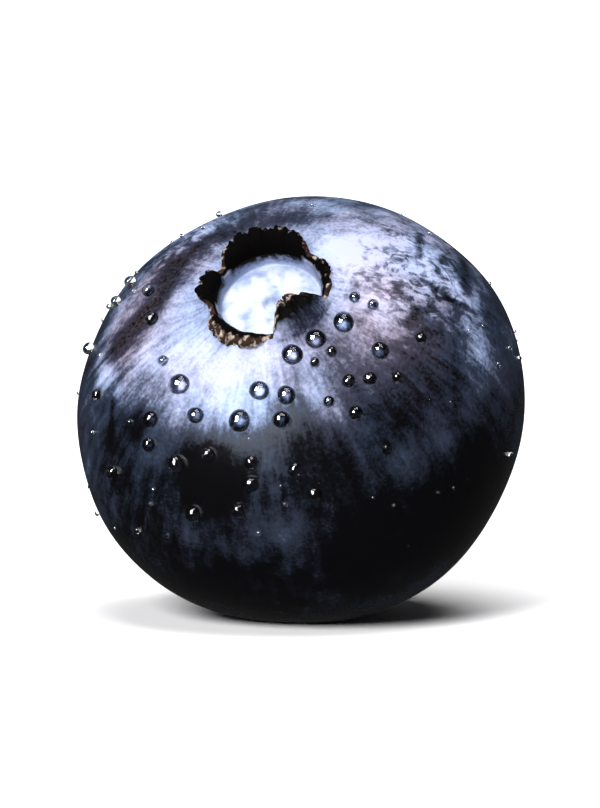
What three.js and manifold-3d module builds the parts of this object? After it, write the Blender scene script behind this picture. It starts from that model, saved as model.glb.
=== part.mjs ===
// A ripe blueberry with beads of water on its skin, as one solid, in millimetres, +Z up.
// The fruit lies on a small flat spot at the origin, with its lobed crown tipped up and towards -Y.
import * as THREE from "three";
import { mergeVertices } from "three/addons/utils/BufferGeometryUtils.js";
import Module from "manifold-3d";

const wasm = await Module();
wasm.setup();

// Driving dimensions of the fruit
const DIAMETER = 17;
const CROWN_HALF_HEIGHT = 6.9; // the crown half is flatter than the stem half
const STEM_HALF_HEIGHT = 7.7;
const CROWN_TILT = 45; // degrees from upright
const CROWN_YAW = -14; // degrees about +Z, so the crown looks a little to -X

// The soft underside settles until the flat spot that it rests on lies under its weight
const REST_DEPTH = 0.26; // how far the skin is pressed flat
const SAG = 0.12; // fall for each millimetre behind the middle
const SAG_FADE = 2.5; // the sag dies away over this height

// A fruit is never quite round: shares of the radius by which slow waves round the waist swell it
const OVAL = 0.02;
const OVAL_CLOCK = 15; // the long way across
const FIVEFOLD = 0.006;

// The crown: a shallow cup walled by the dried lobes of the flower
const CUP_FLOOR_RADIUS = 1.86;
const CUP_DEPTH = 0.55; // below the foot of the lobes
const FLOOR_CROWNING = 0.1; // the cup's floor swells between its edge and the style's scar
const STYLE_SCAR_RADIUS = 0.3;
const LOBE_FOOT_RADIUS = 2.2; // middle of the wall
const WALL_FOOT = 0.5; // thickness at the foot
const WALL_TIP = 0.16; // thickness at the tip
const NOTCH_HEIGHT = 0.12; // the low wall that is left between lobes
const SHOULDER_RADIUS = 3.0; // where the crown runs out into the round skin

// Each lobe has a clock angle round the crown (0 is up, clockwise seen from outside), half a width, an
// outward lean and a further curl of the tip, all in degrees, a height, and an arch that is blunter for a
// higher number
const LOBES = [
  { clock: -14, halfWidth: 46, height: 0.85, lean: 0, curl: 30, blunt: 3.5 },
  { clock: 62, halfWidth: 27, height: 0.28, lean: 10, curl: 20, blunt: 2.2 },
  { clock: 131, halfWidth: 34, height: 1.35, lean: -60, curl: -8, blunt: 3 },
  { clock: 205, halfWidth: 34, height: 0.5, lean: 50, curl: 30, blunt: 2.6 },
  { clock: 272, halfWidth: 20, height: 0.65, lean: 30, curl: 10, blunt: 3 },
];
const ARCH_POWER = 0.75; // below 1, so that a lobe's sides start up steeply

// The scar at the other end, where the stalk came away
const STEM_SCAR_RADIUS = 0.95;
const STEM_SCAR_DEPTH = 0.5;

// Beads of water round the front of the crown: clock angle, angle from the crown's axis, diameter
const FRONT_BEADS = [
  [154, 21, 0.8], [134, 20, 0.76], [111, 22, 0.8], [143, 25, 0.35], [131, 25, 0.4], [88, 22, 0.4],
  [90, 27, 0.4], [217, 33, 0.8], [203, 38, 0.62], [220, 45, 0.6], [184, 37, 0.82], [176, 29, 0.74],
  [163, 31, 0.7], [167, 37, 0.62], [134, 34, 0.5], [126, 37, 0.5], [117, 42, 0.4], [139, 42, 0.52],
  [146, 36, 0.4], [113, 34, 0.66], [97, 42, 0.4], [216, 51, 0.5], [204, 52, 0.62], [194, 47, 0.5],
  [179, 48, 0.5], [179, 54, 0.6], [183, 62, 0.52], [196, 65, 0.6], [165, 51, 0.5], [161, 59, 0.5],
  [136, 55, 0.3], [248, 57, 0.4], [225, 66, 0.5], [234, 32, 0.4], [261, 32, 0.52], [280, 36, 0.5],
  [290, 50, 0.46], [283, 53, 0.4], [271, 64, 0.46],
];
// Beads elsewhere: a golden-angle spiral with seeded jitter, on the side away from -Y
const SPIRAL_STEPS = 120;
const SPIRAL_FROM = 30; // degrees from the crown's axis
const SPIRAL_TO = 150;
const SPIRAL_JITTER = 30; // degrees of clock
const WET_SHARE = 0.8; // of the spiral's steps, where the skin faces well away from -Y
const WET_EDGE = 0.2; // the way out of the skin has to reach this far along +Y
const WET_RANGE = 0.4; // over which the share grows
const SMALL_BEAD = 0.24;
const LARGE_BEAD = 0.82;
const LEAST_MODELLED = 0.45; // finer mist is too small for the solid
const DRY_BELOW = 4; // height above the surface under which the skin is dry
const BEAD_STAND = 0.5; // a bead's centre stands this share of its radius above the skin
const BEAD_SPACING = 1.25; // of two radii together

// Facets
const COLUMNS = 75;
const BODY_ROWS = 22;
const WALL_SHARES = [0, 0.3, 0.6, 0.85, 1];

const A = DIAMETER / 2;
const RAD = Math.PI / 180;
const GOLDEN_ANGLE = 180 * (3 - Math.sqrt(5));

// A repeatable number from 0 to 1 for a whole number and a seed.
function draw(i, seed) {
  const s = Math.sin(i * 12.9898 + seed * 78.233) * 43758.5453;
  return s - Math.floor(s);
}

// Shortest way round from one clock angle to another, in degrees.
const clockGap = (a, b) => ((((a - b) % 360) + 540) % 360) - 180;

// Height of the round skin above the waist, for the angle from the crown's axis in radians.
const skinHeight = (polar) =>
  Math.cos(polar) * (polar < Math.PI / 2 ? CROWN_HALF_HEIGHT : STEM_HALF_HEIGHT);
const FOOT_HEIGHT = skinHeight(Math.asin(LOBE_FOOT_RADIUS / A));
const FLOOR_HEIGHT = FOOT_HEIGHT - CUP_DEPTH;

// Height, lean and curl of the crown's wall at a clock angle: each lobe is a blunt arch between two notches.
function wallAt(clock) {
  let height = NOTCH_HEIGHT;
  let lean = 0;
  let curl = 0;
  for (const lobe of LOBES) {
    const off = Math.abs(clockGap(clock, lobe.clock)) / lobe.halfWidth;
    const arch = off < 1 ? (1 - off ** lobe.blunt) ** ARCH_POWER : 0;
    height += arch * (lobe.height - NOTCH_HEIGHT);
    lean += Math.sqrt(arch) * lobe.lean;
    curl += Math.sqrt(arch) * lobe.curl;
  }
  return { height, lean, curl };
}

// Radius and height on the wall, a blade on a centre line that bends over by its lean, and near the tip by
// its curl too. It is thick at the foot.
// share runs from the foot, 0, to the tip, 1, and side is -1 on the inner face, 1 on the outer one.
function wallPoint(clock, share, side) {
  const { height, lean, curl } = wallAt(clock);
  const bend = (lean * share + curl * share ** 3) * RAD;
  const half = THREE.MathUtils.lerp(WALL_FOOT, WALL_TIP, share) / 2;
  return [
    LOBE_FOOT_RADIUS + height * share * Math.sin(bend) + side * half * Math.cos(bend),
    FOOT_HEIGHT + height * share * Math.cos(bend) - side * half * Math.sin(bend),
  ];
}

// The stations of the meridian, from the middle of the cup over the lobes and round to the stem's scar.
// Each is a function that gives radius and height for a clock angle.
function meridian() {
  const fixed = (radius, height) => () => [radius, height];
  const stations = [
    fixed(0, FLOOR_HEIGHT - FLOOR_CROWNING),
    fixed(STYLE_SCAR_RADIUS * 0.7, FLOOR_HEIGHT - FLOOR_CROWNING),
    fixed(STYLE_SCAR_RADIUS * 1.2, FLOOR_HEIGHT + FLOOR_CROWNING),
    fixed(CUP_FLOOR_RADIUS * 0.5, FLOOR_HEIGHT + FLOOR_CROWNING * 0.7),
    fixed(CUP_FLOOR_RADIUS * 0.8, FLOOR_HEIGHT + FLOOR_CROWNING),
    fixed(CUP_FLOOR_RADIUS, FLOOR_HEIGHT),
  ];
  for (const share of WALL_SHARES) {
    stations.push((clock) => wallPoint(clock, share, -1));
  }
  for (const share of WALL_SHARES.toReversed()) {
    stations.push((clock) => wallPoint(clock, share, 1));
  }
  const from = Math.asin(SHOULDER_RADIUS / A);
  const to = Math.PI - Math.asin((STEM_SCAR_RADIUS * 1.25) / A);
  for (let row = 0; row <= BODY_ROWS; row++) {
    const polar = from + ((to - from) * row) / BODY_ROWS;
    stations.push(fixed(A * Math.sin(polar), skinHeight(polar)));
  }
  stations.push(
    fixed(STEM_SCAR_RADIUS, -STEM_HALF_HEIGHT + STEM_SCAR_DEPTH * 0.05),
    fixed(STEM_SCAR_RADIUS * 0.8, -STEM_HALF_HEIGHT + STEM_SCAR_DEPTH * 0.6),
    fixed(STEM_SCAR_RADIUS * 0.4, -STEM_HALF_HEIGHT + STEM_SCAR_DEPTH),
    fixed(0, -STEM_HALF_HEIGHT + STEM_SCAR_DEPTH),
  );
  return stations;
}

// A point of the skin in the fruit's own frame, crown along +Z, clock 0 along +Y.
function skinPoint(station, clock) {
  const [radius, height] = station(clock);
  const waist = radius ** 2 / (radius ** 2 + height ** 2);
  const oval = OVAL * Math.cos(2 * (clock - OVAL_CLOCK) * RAD);
  const fivefold = FIVEFOLD * Math.cos(5 * clock * RAD);
  const swollen = radius * (1 + waist * (oval + fivefold));
  return new THREE.Vector3(swollen * Math.sin(clock * RAD), swollen * Math.cos(clock * RAD), height);
}

// How the fruit lies: a point is tipped towards -Y, turned about +Z and sagged on the side behind the crown.
const attitude = new THREE.Matrix4()
  .makeRotationZ(CROWN_YAW * RAD)
  .multiply(new THREE.Matrix4().makeRotationX(CROWN_TILT * RAD));
const underside = -Math.hypot(A * Math.sin(CROWN_TILT * RAD), STEM_HALF_HEIGHT * Math.cos(CROWN_TILT * RAD));
function lieDown(point) {
  point.applyMatrix4(attitude);
  const behind = point.y * Math.cos(CROWN_YAW * RAD) - point.x * Math.sin(CROWN_YAW * RAD);
  point.z -= SAG * behind * Math.exp((underside - point.z) / SAG_FADE);
  return point;
}

// The fruit: a lathe of the meridian, each vertex then moved to the profile at its clock angle and laid down.
function fruitGeometry() {
  const stations = meridian();
  const profile = stations.map((station) => new THREE.Vector2(...station(0)));
  const lathe = new THREE.LatheGeometry(profile, COLUMNS);
  for (let column = 0; column <= COLUMNS; column++) {
    const clock = ((column % COLUMNS) * 360) / COLUMNS;
    stations.forEach((station, row) => {
      const { x, y, z } = lieDown(skinPoint(station, clock));
      lathe.attributes.position.setXYZ(column * stations.length + row, x, y, z);
    });
  }
  return lathe;
}

// A solid from a closed geometry: shared vertices are merged and collapsed triangles at the poles left out.
function solidOf(geometry) {
  geometry.deleteAttribute("normal");
  geometry.deleteAttribute("uv");
  const merged = mergeVertices(geometry);
  const corners = merged.index.array;
  const triVerts = [];
  for (let i = 0; i < corners.length; i += 3) {
    const [a, b, c] = corners.slice(i, i + 3);
    if (a !== b && b !== c && c !== a) triVerts.push(a, b, c);
  }
  return new wasm.Manifold(
    new wasm.Mesh({
      numProp: 3,
      vertProperties: merged.attributes.position.array,
      triVerts: new Uint32Array(triVerts),
    }),
  );
}

// A geometry from a solid.
function geometryOf(solid) {
  const { vertProperties, triVerts } = solid.getMesh();
  const geometry = new THREE.BufferGeometry();
  geometry.setAttribute("position", new THREE.BufferAttribute(vertProperties, 3));
  geometry.setIndex(new THREE.BufferAttribute(triVerts, 1));
  geometry.computeVertexNormals();
  return geometry;
}

// The point of the skin where a bead sits, and the way out of the skin there.
function seat(clock, polarDegrees) {
  const polar = polarDegrees * RAD;
  const height = skinHeight(polar);
  const point = skinPoint(() => [A * Math.sin(polar), height], clock);
  const half = height > 0 ? CROWN_HALF_HEIGHT : STEM_HALF_HEIGHT;
  const out = new THREE.Vector3(point.x / A ** 2, point.y / A ** 2, point.z / half ** 2);
  return { point: lieDown(point), out: out.transformDirection(attitude) };
}

// Every bead of water, with its seat on the skin and its diameter.
function placeBeads() {
  const beads = FRONT_BEADS.map(([clock, polar, diameter]) => ({ diameter, ...seat(clock, polar) }));
  const first = Math.cos(SPIRAL_FROM * RAD);
  const last = Math.cos(SPIRAL_TO * RAD);
  for (let i = 0; i < SPIRAL_STEPS; i++) {
    const share = (i + draw(i, 1)) / SPIRAL_STEPS;
    const polar = Math.acos(THREE.MathUtils.lerp(first, last, share)) / RAD;
    const clock = i * GOLDEN_ANGLE + SPIRAL_JITTER * draw(i, 2);
    const diameter = THREE.MathUtils.lerp(SMALL_BEAD, LARGE_BEAD, draw(i, 3) ** 2);
    const { point, out } = seat(clock, polar);
    const wetness = WET_SHARE * THREE.MathUtils.clamp((out.y - WET_EDGE) / WET_RANGE, 0, 1);
    const crowded = beads.some(
      (bead) => bead.point.distanceTo(point) < (BEAD_SPACING * (bead.diameter + diameter)) / 2,
    );
    const dry = point.z < underside + DRY_BELOW;
    if (draw(i, 4) < wetness && !dry && !crowded) beads.push({ diameter, point, out });
  }
  return beads;
}

// A bead: a ball sunk into the skin by part of its lower half.
function beadGeometry({ diameter, point, out }) {
  const radius = diameter / 2;
  const centre = point.clone().addScaledVector(out, BEAD_STAND * radius);
  return new THREE.IcosahedronGeometry(radius, 1).translate(centre.x, centre.y, centre.z);
}

const fruit = fruitGeometry();
const modelled = placeBeads().filter((bead) => bead.diameter >= LEAST_MODELLED);
const wet = modelled.reduce((solid, bead) => solid.add(solidOf(beadGeometry(bead))), solidOf(fruit));

// The skin is pressed flat where it meets the surface, and that flat spot is set at z = 0
fruit.computeBoundingBox();
const rest = fruit.boundingBox.min.z + REST_DEPTH;
const surface = new THREE.BoxGeometry(2 * DIAMETER, 2 * DIAMETER, DIAMETER).translate(0, 0, rest - A);
const berry = geometryOf(wet.subtract(solidOf(surface))).translate(0, 0, -rest);

const skin = new THREE.MeshStandardMaterial({ color: 0x2b3350, roughness: 0.45, metalness: 0 });
const mesh = new THREE.Mesh(berry, skin);
mesh.name = "blueberry";

const group = new THREE.Group();
group.add(mesh);

export default group;
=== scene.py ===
# %% [markdown]
# A wet blueberry, lying on a white table with its crown tipped towards the viewer. This file is a
# lesson in cells: each step says what the piece is on the real fruit, how it could be made and why it
# is made this way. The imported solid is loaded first. It fixes the size and the place, and nothing here
# moves it.

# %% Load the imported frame
import bpy
import numpy as np
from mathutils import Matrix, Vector


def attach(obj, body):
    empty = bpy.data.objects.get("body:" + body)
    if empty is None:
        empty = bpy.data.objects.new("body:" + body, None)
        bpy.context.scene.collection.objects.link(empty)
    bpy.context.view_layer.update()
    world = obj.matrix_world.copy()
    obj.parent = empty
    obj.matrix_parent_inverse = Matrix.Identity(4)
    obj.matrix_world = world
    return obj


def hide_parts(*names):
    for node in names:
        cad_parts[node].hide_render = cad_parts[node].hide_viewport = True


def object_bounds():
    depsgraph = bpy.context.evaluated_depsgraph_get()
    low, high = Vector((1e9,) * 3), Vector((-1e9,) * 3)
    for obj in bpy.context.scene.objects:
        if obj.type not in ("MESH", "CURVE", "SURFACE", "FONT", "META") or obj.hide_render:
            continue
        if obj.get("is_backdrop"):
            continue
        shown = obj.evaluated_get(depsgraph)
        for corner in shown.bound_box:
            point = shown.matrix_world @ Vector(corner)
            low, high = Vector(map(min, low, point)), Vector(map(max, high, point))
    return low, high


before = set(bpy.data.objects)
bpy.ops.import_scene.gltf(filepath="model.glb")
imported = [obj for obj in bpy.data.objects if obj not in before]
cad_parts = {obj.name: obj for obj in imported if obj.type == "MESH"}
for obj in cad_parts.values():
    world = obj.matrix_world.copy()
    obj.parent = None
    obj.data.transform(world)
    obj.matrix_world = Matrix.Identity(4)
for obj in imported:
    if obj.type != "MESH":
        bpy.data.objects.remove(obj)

CAD_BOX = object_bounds()
print("frame holds", list(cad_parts), "in the box", CAD_BOX)

# %% [markdown]
# Sizes are written in millimetres, as for the solid, and turned into metres when a mesh is made. The
# fruit has a frame of its own: the crown's axis is up, and a point is named by its clock angle round
# that axis (0 is up in the picture, clockwise seen from outside) and by its polar angle, counted from
# the crown. A blueberry is close to a squashed ball, so its skin could start from a sphere and be
# sculpted. Two half ellipses with a slow wave round the waist say the same thing in three lines, and
# the solid is made by the same rule.

# %% The round skin
MM = 0.001
RAD = np.pi / 180
RADIUS = 8.5
CROWN_HALF_HEIGHT, STEM_HALF_HEIGHT = 6.9, 7.7
OVAL, OVAL_CLOCK, FIVEFOLD = 0.02, 15, 0.006


def skin_height(polar):
    """Height of the round skin above the waist: the half height of its end times the cosine of the polar
    angle (radians)."""
    return np.cos(polar) * np.where(polar < np.pi / 2, CROWN_HALF_HEIGHT, STEM_HALF_HEIGHT)


def place_round(radius, height, clock):
    """Points in the fruit's frame from radius, height and clock angle, with clock 0 along +Y. The waist
    is oval across one clock angle, with a faint five-fold wave, and both fade towards the ends."""
    waist = radius**2 / (radius**2 + height**2)
    wave = OVAL * np.cos(2 * (clock - OVAL_CLOCK) * RAD) + FIVEFOLD * np.cos(5 * clock * RAD)
    swollen = radius * (1 + waist * wave)
    parts = np.broadcast_arrays(swollen * np.sin(clock * RAD), swollen * np.cos(clock * RAD), height)
    return np.stack(parts, axis=-1)


print("the fruit is", 2 * RADIUS, "mm wide and", CROWN_HALF_HEIGHT + STEM_HALF_HEIGHT, "mm high")

# %% [markdown]
# The crown is what the flower leaves behind: a shallow cup with a pale floor, walled by five dried
# lobes with ragged, crumbling edges. A sculpted mesh could do it, but a formula keeps the lobes where
# the solid has them. The wall is a blade on a centre line that bends over, and its height follows the
# clock angle. One lobe folds in over the floor, the one at the back stands, and the rest lean or curl
# out.

# %% Sizes of the crown
CUP_FLOOR_RADIUS, CUP_DEPTH, FLOOR_CROWNING = 1.86, 0.55, 0.1
STYLE_SCAR_RADIUS = 0.3
LOBE_FOOT_RADIUS, WALL_FOOT, WALL_TIP = 2.2, 0.5, 0.16
NOTCH_HEIGHT, SHOULDER_RADIUS = 0.12, 3.0
# One value for each lobe: at the back, right, front right, front left and left
LOBE_CLOCK = np.array([-14, 62, 131, 205, 272])
LOBE_HALF_WIDTH = np.array([46, 27, 34, 34, 20])
LOBE_HEIGHT = np.array([0.85, 0.28, 1.35, 0.5, 0.65])
LOBE_LEAN = np.array([0, 10, -60, 50, 30])  # degrees outwards at the tip, spread along the lobe
LOBE_CURL = np.array([30, 20, -8, 30, 10])  # more degrees, all near the tip
LOBE_BLUNT = np.array([3.5, 2.2, 3, 2.6, 3])  # how blunt its arch is
LOBE_CRINKLE = np.array([0.02, 0.09, 0.02, 0.07, 0.07])  # how far its edge waves in and out
ARCH_POWER = 0.75  # below 1, so that a lobe's sides start up steeply
FOOT_HEIGHT = skin_height(np.arcsin(LOBE_FOOT_RADIUS / RADIUS))
FLOOR_HEIGHT = FOOT_HEIGHT - CUP_DEPTH
print("the crown's foot is", FOOT_HEIGHT.round(2), "mm above the waist")

# %% [markdown]
# Dry lobes tear along their edges and crumble on their faces. Torn edges could be cut by hand, one
# tooth at a time. Many waves of seeded phases, added up, look as accidental, and come out the same on
# every run.

# %% Rough edges
# Share of a lobe's height that crumbles away in places, waves in a turn, and how far they count
RAGGED, TORN_WAVES, TORN_RANGE = 0.16, (9, 90), (-0.4, 1.2)
RIPPLE_FALL = 0.75  # how fast finer waves get weaker
CRUMB_COUNT, CRUMB_HEIGHT, CRUMBS_AROUND, CRUMBS_UP = 40, 0.009, (8, 60), (-5, 5)


def ripple(angle, lowest, highest, seed):
    """A rough closed wave of the angle (degrees), about -1 to 1: cosines from the lowest to the highest
    count of waves in a turn, each weaker as it is finer, with seeded phases."""
    counts = np.arange(lowest, highest + 1)
    phases = np.random.default_rng(seed).uniform(0, 2 * np.pi, counts.size)
    weights = counts**-RIPPLE_FALL
    waves = np.cos(counts[:, None] * angle.ravel() * RAD + phases[:, None]) * weights[:, None]
    return (waves.sum(0) / np.sqrt((weights**2).sum() / 2) / 2).reshape(angle.shape)


def crumbs(clock, share, seed):
    """Crumbs on a dry face, about -1 to 1: cosines that run round the clock and up the wall at seeded
    rates, added up."""
    draws = np.random.default_rng(seed)
    around = draws.integers(*CRUMBS_AROUND, CRUMB_COUNT)
    upwards = draws.uniform(*CRUMBS_UP, CRUMB_COUNT)
    phases = draws.uniform(0, 2 * np.pi, CRUMB_COUNT)
    waves = np.cos((clock * RAD)[..., None] * around + 2 * np.pi * share[..., None] * upwards + phases)
    return waves.sum(-1) / np.sqrt(2 * CRUMB_COUNT)


edge = ripple(np.arange(360.0), *TORN_WAVES, seed=3)
print("a torn edge waves from", edge.min().round(2), "to", edge.max().round(2))


# %% The crown's wall
def arches(clock):
    """For every clock angle, how far each lobe has risen, from 0 in the notches to 1: a blunt arch."""
    gap = np.abs((clock[..., None] - LOBE_CLOCK + 180) % 360 - 180) / LOBE_HALF_WIDTH
    return np.clip(1 - gap**LOBE_BLUNT, 0, None) ** ARCH_POWER


def wall_at(clock):
    """Height, lean and curl of the wall: each lobe is an arch between two notches, with a ragged top."""
    arch = arches(clock)
    height = NOTCH_HEIGHT + arch @ (LOBE_HEIGHT - NOTCH_HEIGHT)
    torn = RAGGED * np.clip(ripple(clock, *TORN_WAVES, seed=3), *TORN_RANGE) * arch.max(-1)
    return height - torn, np.sqrt(arch) @ LOBE_LEAN, np.sqrt(arch) @ LOBE_CURL


def wall_point(clock, share, side):
    """Radius and height on the wall. share runs from the foot, 0, to the tip, 1, and side from -1 on the
    inner face to 1 on the outer one. The blade bends by lean times share, and by curl times share cubed,
    thins towards the tip, waves in and out there, and has crumbs on both faces."""
    height, lean, curl = wall_at(clock)
    bend = (lean * share + curl * share**3) * RAD
    half = (WALL_FOOT + (WALL_TIP - WALL_FOOT) * share) / 2
    wave = share * (arches(clock) @ LOBE_CRINKLE) * ripple(clock, lowest=10, highest=60, seed=8)
    inner, outer = crumbs(clock, share, seed=41), crumbs(clock, share, seed=42)
    crumb = CRUMB_HEIGHT * share * (inner + (outer - inner) * (side + 1) / 2)
    across = side * half + wave + crumb
    along = height * share
    radius = LOBE_FOOT_RADIUS + along * np.sin(bend) + across * np.cos(bend)
    return radius, FOOT_HEIGHT + along * np.cos(bend) - across * np.sin(bend)


print("the lobes are", wall_at(LOBE_CLOCK)[0].round(2), "mm long")

# %% [markdown]
# The whole skin is one grid: rows run from the middle of the cup over the lobes and round the fruit to
# the stalk's scar, and columns run round the clock. Each stretch of rows has its own formula. One grid
# needs no joins, so the skin stays one closed shell.

# %% Columns and rows
COLUMNS = 400
CLOCK = np.linspace(0, 360, COLUMNS, endpoint=False)[None, :]


def steps(first, last, count):
    """A column of evenly spaced shares, without the last."""
    return np.linspace(first, last, count, endpoint=False)[:, None]


print("a column every", 360 / COLUMNS, "degrees")

# %% [markdown]
# Inside the crown is a round floor with a small pit in the middle, the scar of the flower's style, and
# a lining that climbs to the lobes. Seen from the front the floor is one of the brightest places, so it
# gets a relief of its own: a low swelling, a lip round the pit and faint grooves, all as functions of
# the radius.

# %% The cup
PIT_DEPTH, LIP_RADIUS, LIP_HEIGHT, LIP_WIDTH = 0.22, 0.405, 0.06, 0.1
SWELL_POWER = 1.6  # above 1, so that the swelling is highest outside the middle of the radius
GROOVES, GROOVE_DEPTH, GROOVE_BEND = 10, 0.02, 2  # the bend is in radians
FLOOR_SHARE = steps(0.02, 1, count=26)
LINING_SHARE = steps(0, 1, count=10)


def cup_floor():
    """The floor swells to a low ring between its edge and the style's scar, which is a small pit with a
    lip. Ten faint grooves run outwards over the ring."""
    radius = FLOOR_SHARE * CUP_FLOOR_RADIUS
    pit = np.exp(-((radius / STYLE_SCAR_RADIUS) ** 4))
    lip = np.exp(-(((radius - LIP_RADIUS) / LIP_WIDTH) ** 2))
    ring = np.sin(np.pi * FLOOR_SHARE**SWELL_POWER)
    bent = GROOVE_BEND * ripple(CLOCK, lowest=1, highest=4, seed=5)
    groove = ring * np.cos(GROOVES * CLOCK * RAD + bent)
    swell = FLOOR_CROWNING * ring - PIT_DEPTH * pit + LIP_HEIGHT * lip
    return radius + 0 * CLOCK, FLOOR_HEIGHT + swell + GROOVE_DEPTH * groove


def cup_lining():
    """From the floor's edge up to the wall's inner foot: a quarter wave, steeper as it rises."""
    turn = LINING_SHARE * np.pi / 2
    foot = LOBE_FOOT_RADIUS - WALL_FOOT / 2
    radius = CUP_FLOOR_RADIUS + (foot - CUP_FLOOR_RADIUS) * np.sin(turn)
    return radius + 0 * CLOCK, FLOOR_HEIGHT + CUP_DEPTH * (1 - np.cos(turn)) + 0 * CLOCK


print("the floor has", len(FLOOR_SHARE), "rows and the lining", len(LINING_SHARE))

# %% [markdown]
# Outside the lobes the skin slopes down to the round body, which ends at the scar that the stalk
# leaves: a small dry pit with a torn edge. The body is a plain ellipse here, because its unevenness
# comes later, for the whole skin at once.

# %% The shoulder, the body and the stalk's scar
STEM_SCAR_RADIUS, STEM_SCAR_DEPTH = 0.95, 0.5
SCAR_EDGE, SCAR_WALL, SCAR_STEEPNESS = 1.25, 0.8, 14  # where it ends and where its wall is, in radii
SCAR_TORN, SCAR_ROUGH, ROUGH_WITHIN = 0.05, 0.03, 0.95
SCAR_SHARE = steps(SCAR_EDGE, 0.04, count=16)


def shoulder():
    """From the wall's outer foot to the round skin: the step in height between them dies away as a
    square."""
    share = steps(0.04, 1, count=12)
    foot = LOBE_FOOT_RADIUS + WALL_FOOT / 2
    radius = foot + (SHOULDER_RADIUS - foot) * share
    step = FOOT_HEIGHT - skin_height(np.arcsin(foot / RADIUS))
    height = skin_height(np.arcsin(radius / RADIUS)) + step * (1 - share) ** 2
    return radius + 0 * CLOCK, height + 0 * CLOCK


def body():
    """The round skin, an ellipse of one height in the crown half and another in the stem half. The rows'
    polar angle grows by half its share and half the share's cube, so they lie closest round the crown."""
    first = np.arcsin(SHOULDER_RADIUS / RADIUS)
    last = np.pi - np.arcsin(SCAR_EDGE * STEM_SCAR_RADIUS / RADIUS)
    share = steps(0, 1, count=112)
    polar = first + (last - first) * (share + share**3) / 2
    return RADIUS * np.sin(polar) + 0 * CLOCK, skin_height(polar) + 0 * CLOCK


def stem_scar():
    """A round pit with a torn edge: the depth falls off as a smooth step of the radius."""
    torn = SCAR_TORN * ripple(CLOCK, lowest=3, highest=16, seed=11) * np.clip(SCAR_SHARE, 0, 1)
    radius = SCAR_SHARE * STEM_SCAR_RADIUS * (1 + torn)
    depth = STEM_SCAR_DEPTH / (1 + np.exp((SCAR_SHARE - SCAR_WALL) * SCAR_STEEPNESS))
    rough = SCAR_ROUGH * ripple(CLOCK, lowest=4, highest=20, seed=12) * (SCAR_SHARE < ROUGH_WITHIN)
    polar = np.pi - np.arcsin(SCAR_SHARE * STEM_SCAR_RADIUS / RADIUS)
    return radius, skin_height(polar) + depth + rough


print("the stalk's scar is", 2 * STEM_SCAR_RADIUS, "mm across")

# %% Join the stretches of rows
WALL_UP = steps(0, 1, count=24)
WALL_OVER = steps(-1, 1, count=6)
WALL_DOWN = 1 - steps(0, 1, count=24)
STRETCHES = {
    "floor": cup_floor(),
    "lining": cup_lining(),
    "wall_up": wall_point(CLOCK, WALL_UP, -1),
    "wall_over": wall_point(CLOCK, np.ones_like(WALL_OVER), WALL_OVER),
    "wall_down": wall_point(CLOCK, WALL_DOWN, 1),
    "shoulder": shoulder(),
    "body": body(),
    "scar": stem_scar(),
}
skin_points = np.concatenate([place_round(*stretch, CLOCK) for stretch in STRETCHES.values()])
print("skin grid", skin_points.shape[:2])

# %% [markdown]
# The fruit then lies down: it is tipped, turned, sagged and lifted exactly as the solid is. A thumb
# would feel that a berry isn't a perfect ball, so slow dents go on first. Where the fruit meets the
# table the skin is pressed flat, by a smooth stand-in for "never below zero", so that no crease shows
# round the spot.

# %% Lay the fruit down
CROWN_TILT, CROWN_YAW = 45, -14
REST_DEPTH, SAG, SAG_FADE = 0.26, 0.12, 2.5
PRESS_SOFTNESS = 0.05
DENT_DEPTH, DENT_SPACING, DENT_WAVES = 0.035, 5.0, 9
tilt, yaw = CROWN_TILT * RAD, CROWN_YAW * RAD
TIP = np.array([[1, 0, 0], [0, np.cos(tilt), -np.sin(tilt)], [0, np.sin(tilt), np.cos(tilt)]])
TURN = np.array([[np.cos(yaw), -np.sin(yaw), 0], [np.sin(yaw), np.cos(yaw), 0], [0, 0, 1]])
ATTITUDE = TURN @ TIP
UNDERSIDE = -np.hypot(RADIUS * np.sin(tilt), STEM_HALF_HEIGHT * np.cos(tilt))


def dents(points):
    """Slow unevenness: plane waves in seeded directions, added up."""
    draws = np.random.default_rng(21)
    ways = draws.normal(size=(3, DENT_WAVES))
    ways /= np.linalg.norm(ways, axis=0)
    phases = draws.uniform(0, 2 * np.pi, DENT_WAVES)
    waves = np.sin(points @ ways * 2 * np.pi / DENT_SPACING + phases)
    return waves.sum(-1, keepdims=True) / np.sqrt(DENT_WAVES)


def lie_down(points):
    """Points of the fruit's frame tipped and turned, then sagged: the fall grows with the distance behind
    the middle, and dies away with height above the underside."""
    laid = points @ ATTITUDE.T
    behind = laid[..., 1] * np.cos(yaw) - laid[..., 0] * np.sin(yaw)
    laid[..., 2] -= SAG * behind * np.exp((UNDERSIDE - laid[..., 2]) / SAG_FADE)
    return laid


def press_flat(points):
    """Points with none below the table: half the sum of the height and its smoothed size."""
    height = points[..., 2]
    return np.stack([points[..., 0], points[..., 1], (height + np.hypot(height, PRESS_SOFTNESS)) / 2], -1)


LIFT = np.array([0, 0, -lie_down(skin_points)[..., 2].min() - REST_DEPTH])
dented_points = skin_points * (1 + DENT_DEPTH / RADIUS * dents(skin_points))
laid_points = press_flat(lie_down(dented_points) + LIFT)
print("the fruit's middle is", LIFT[2].round(3), "mm above the table")

# %% [markdown]
# Every new piece is a set of closed shells: the skin is one, and each bead of water is one. A shell is
# rings of points with a pole at each end. The faces are worked out once, as an index pattern, and
# shifted for each shell, so no loop touches a vertex.

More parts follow.
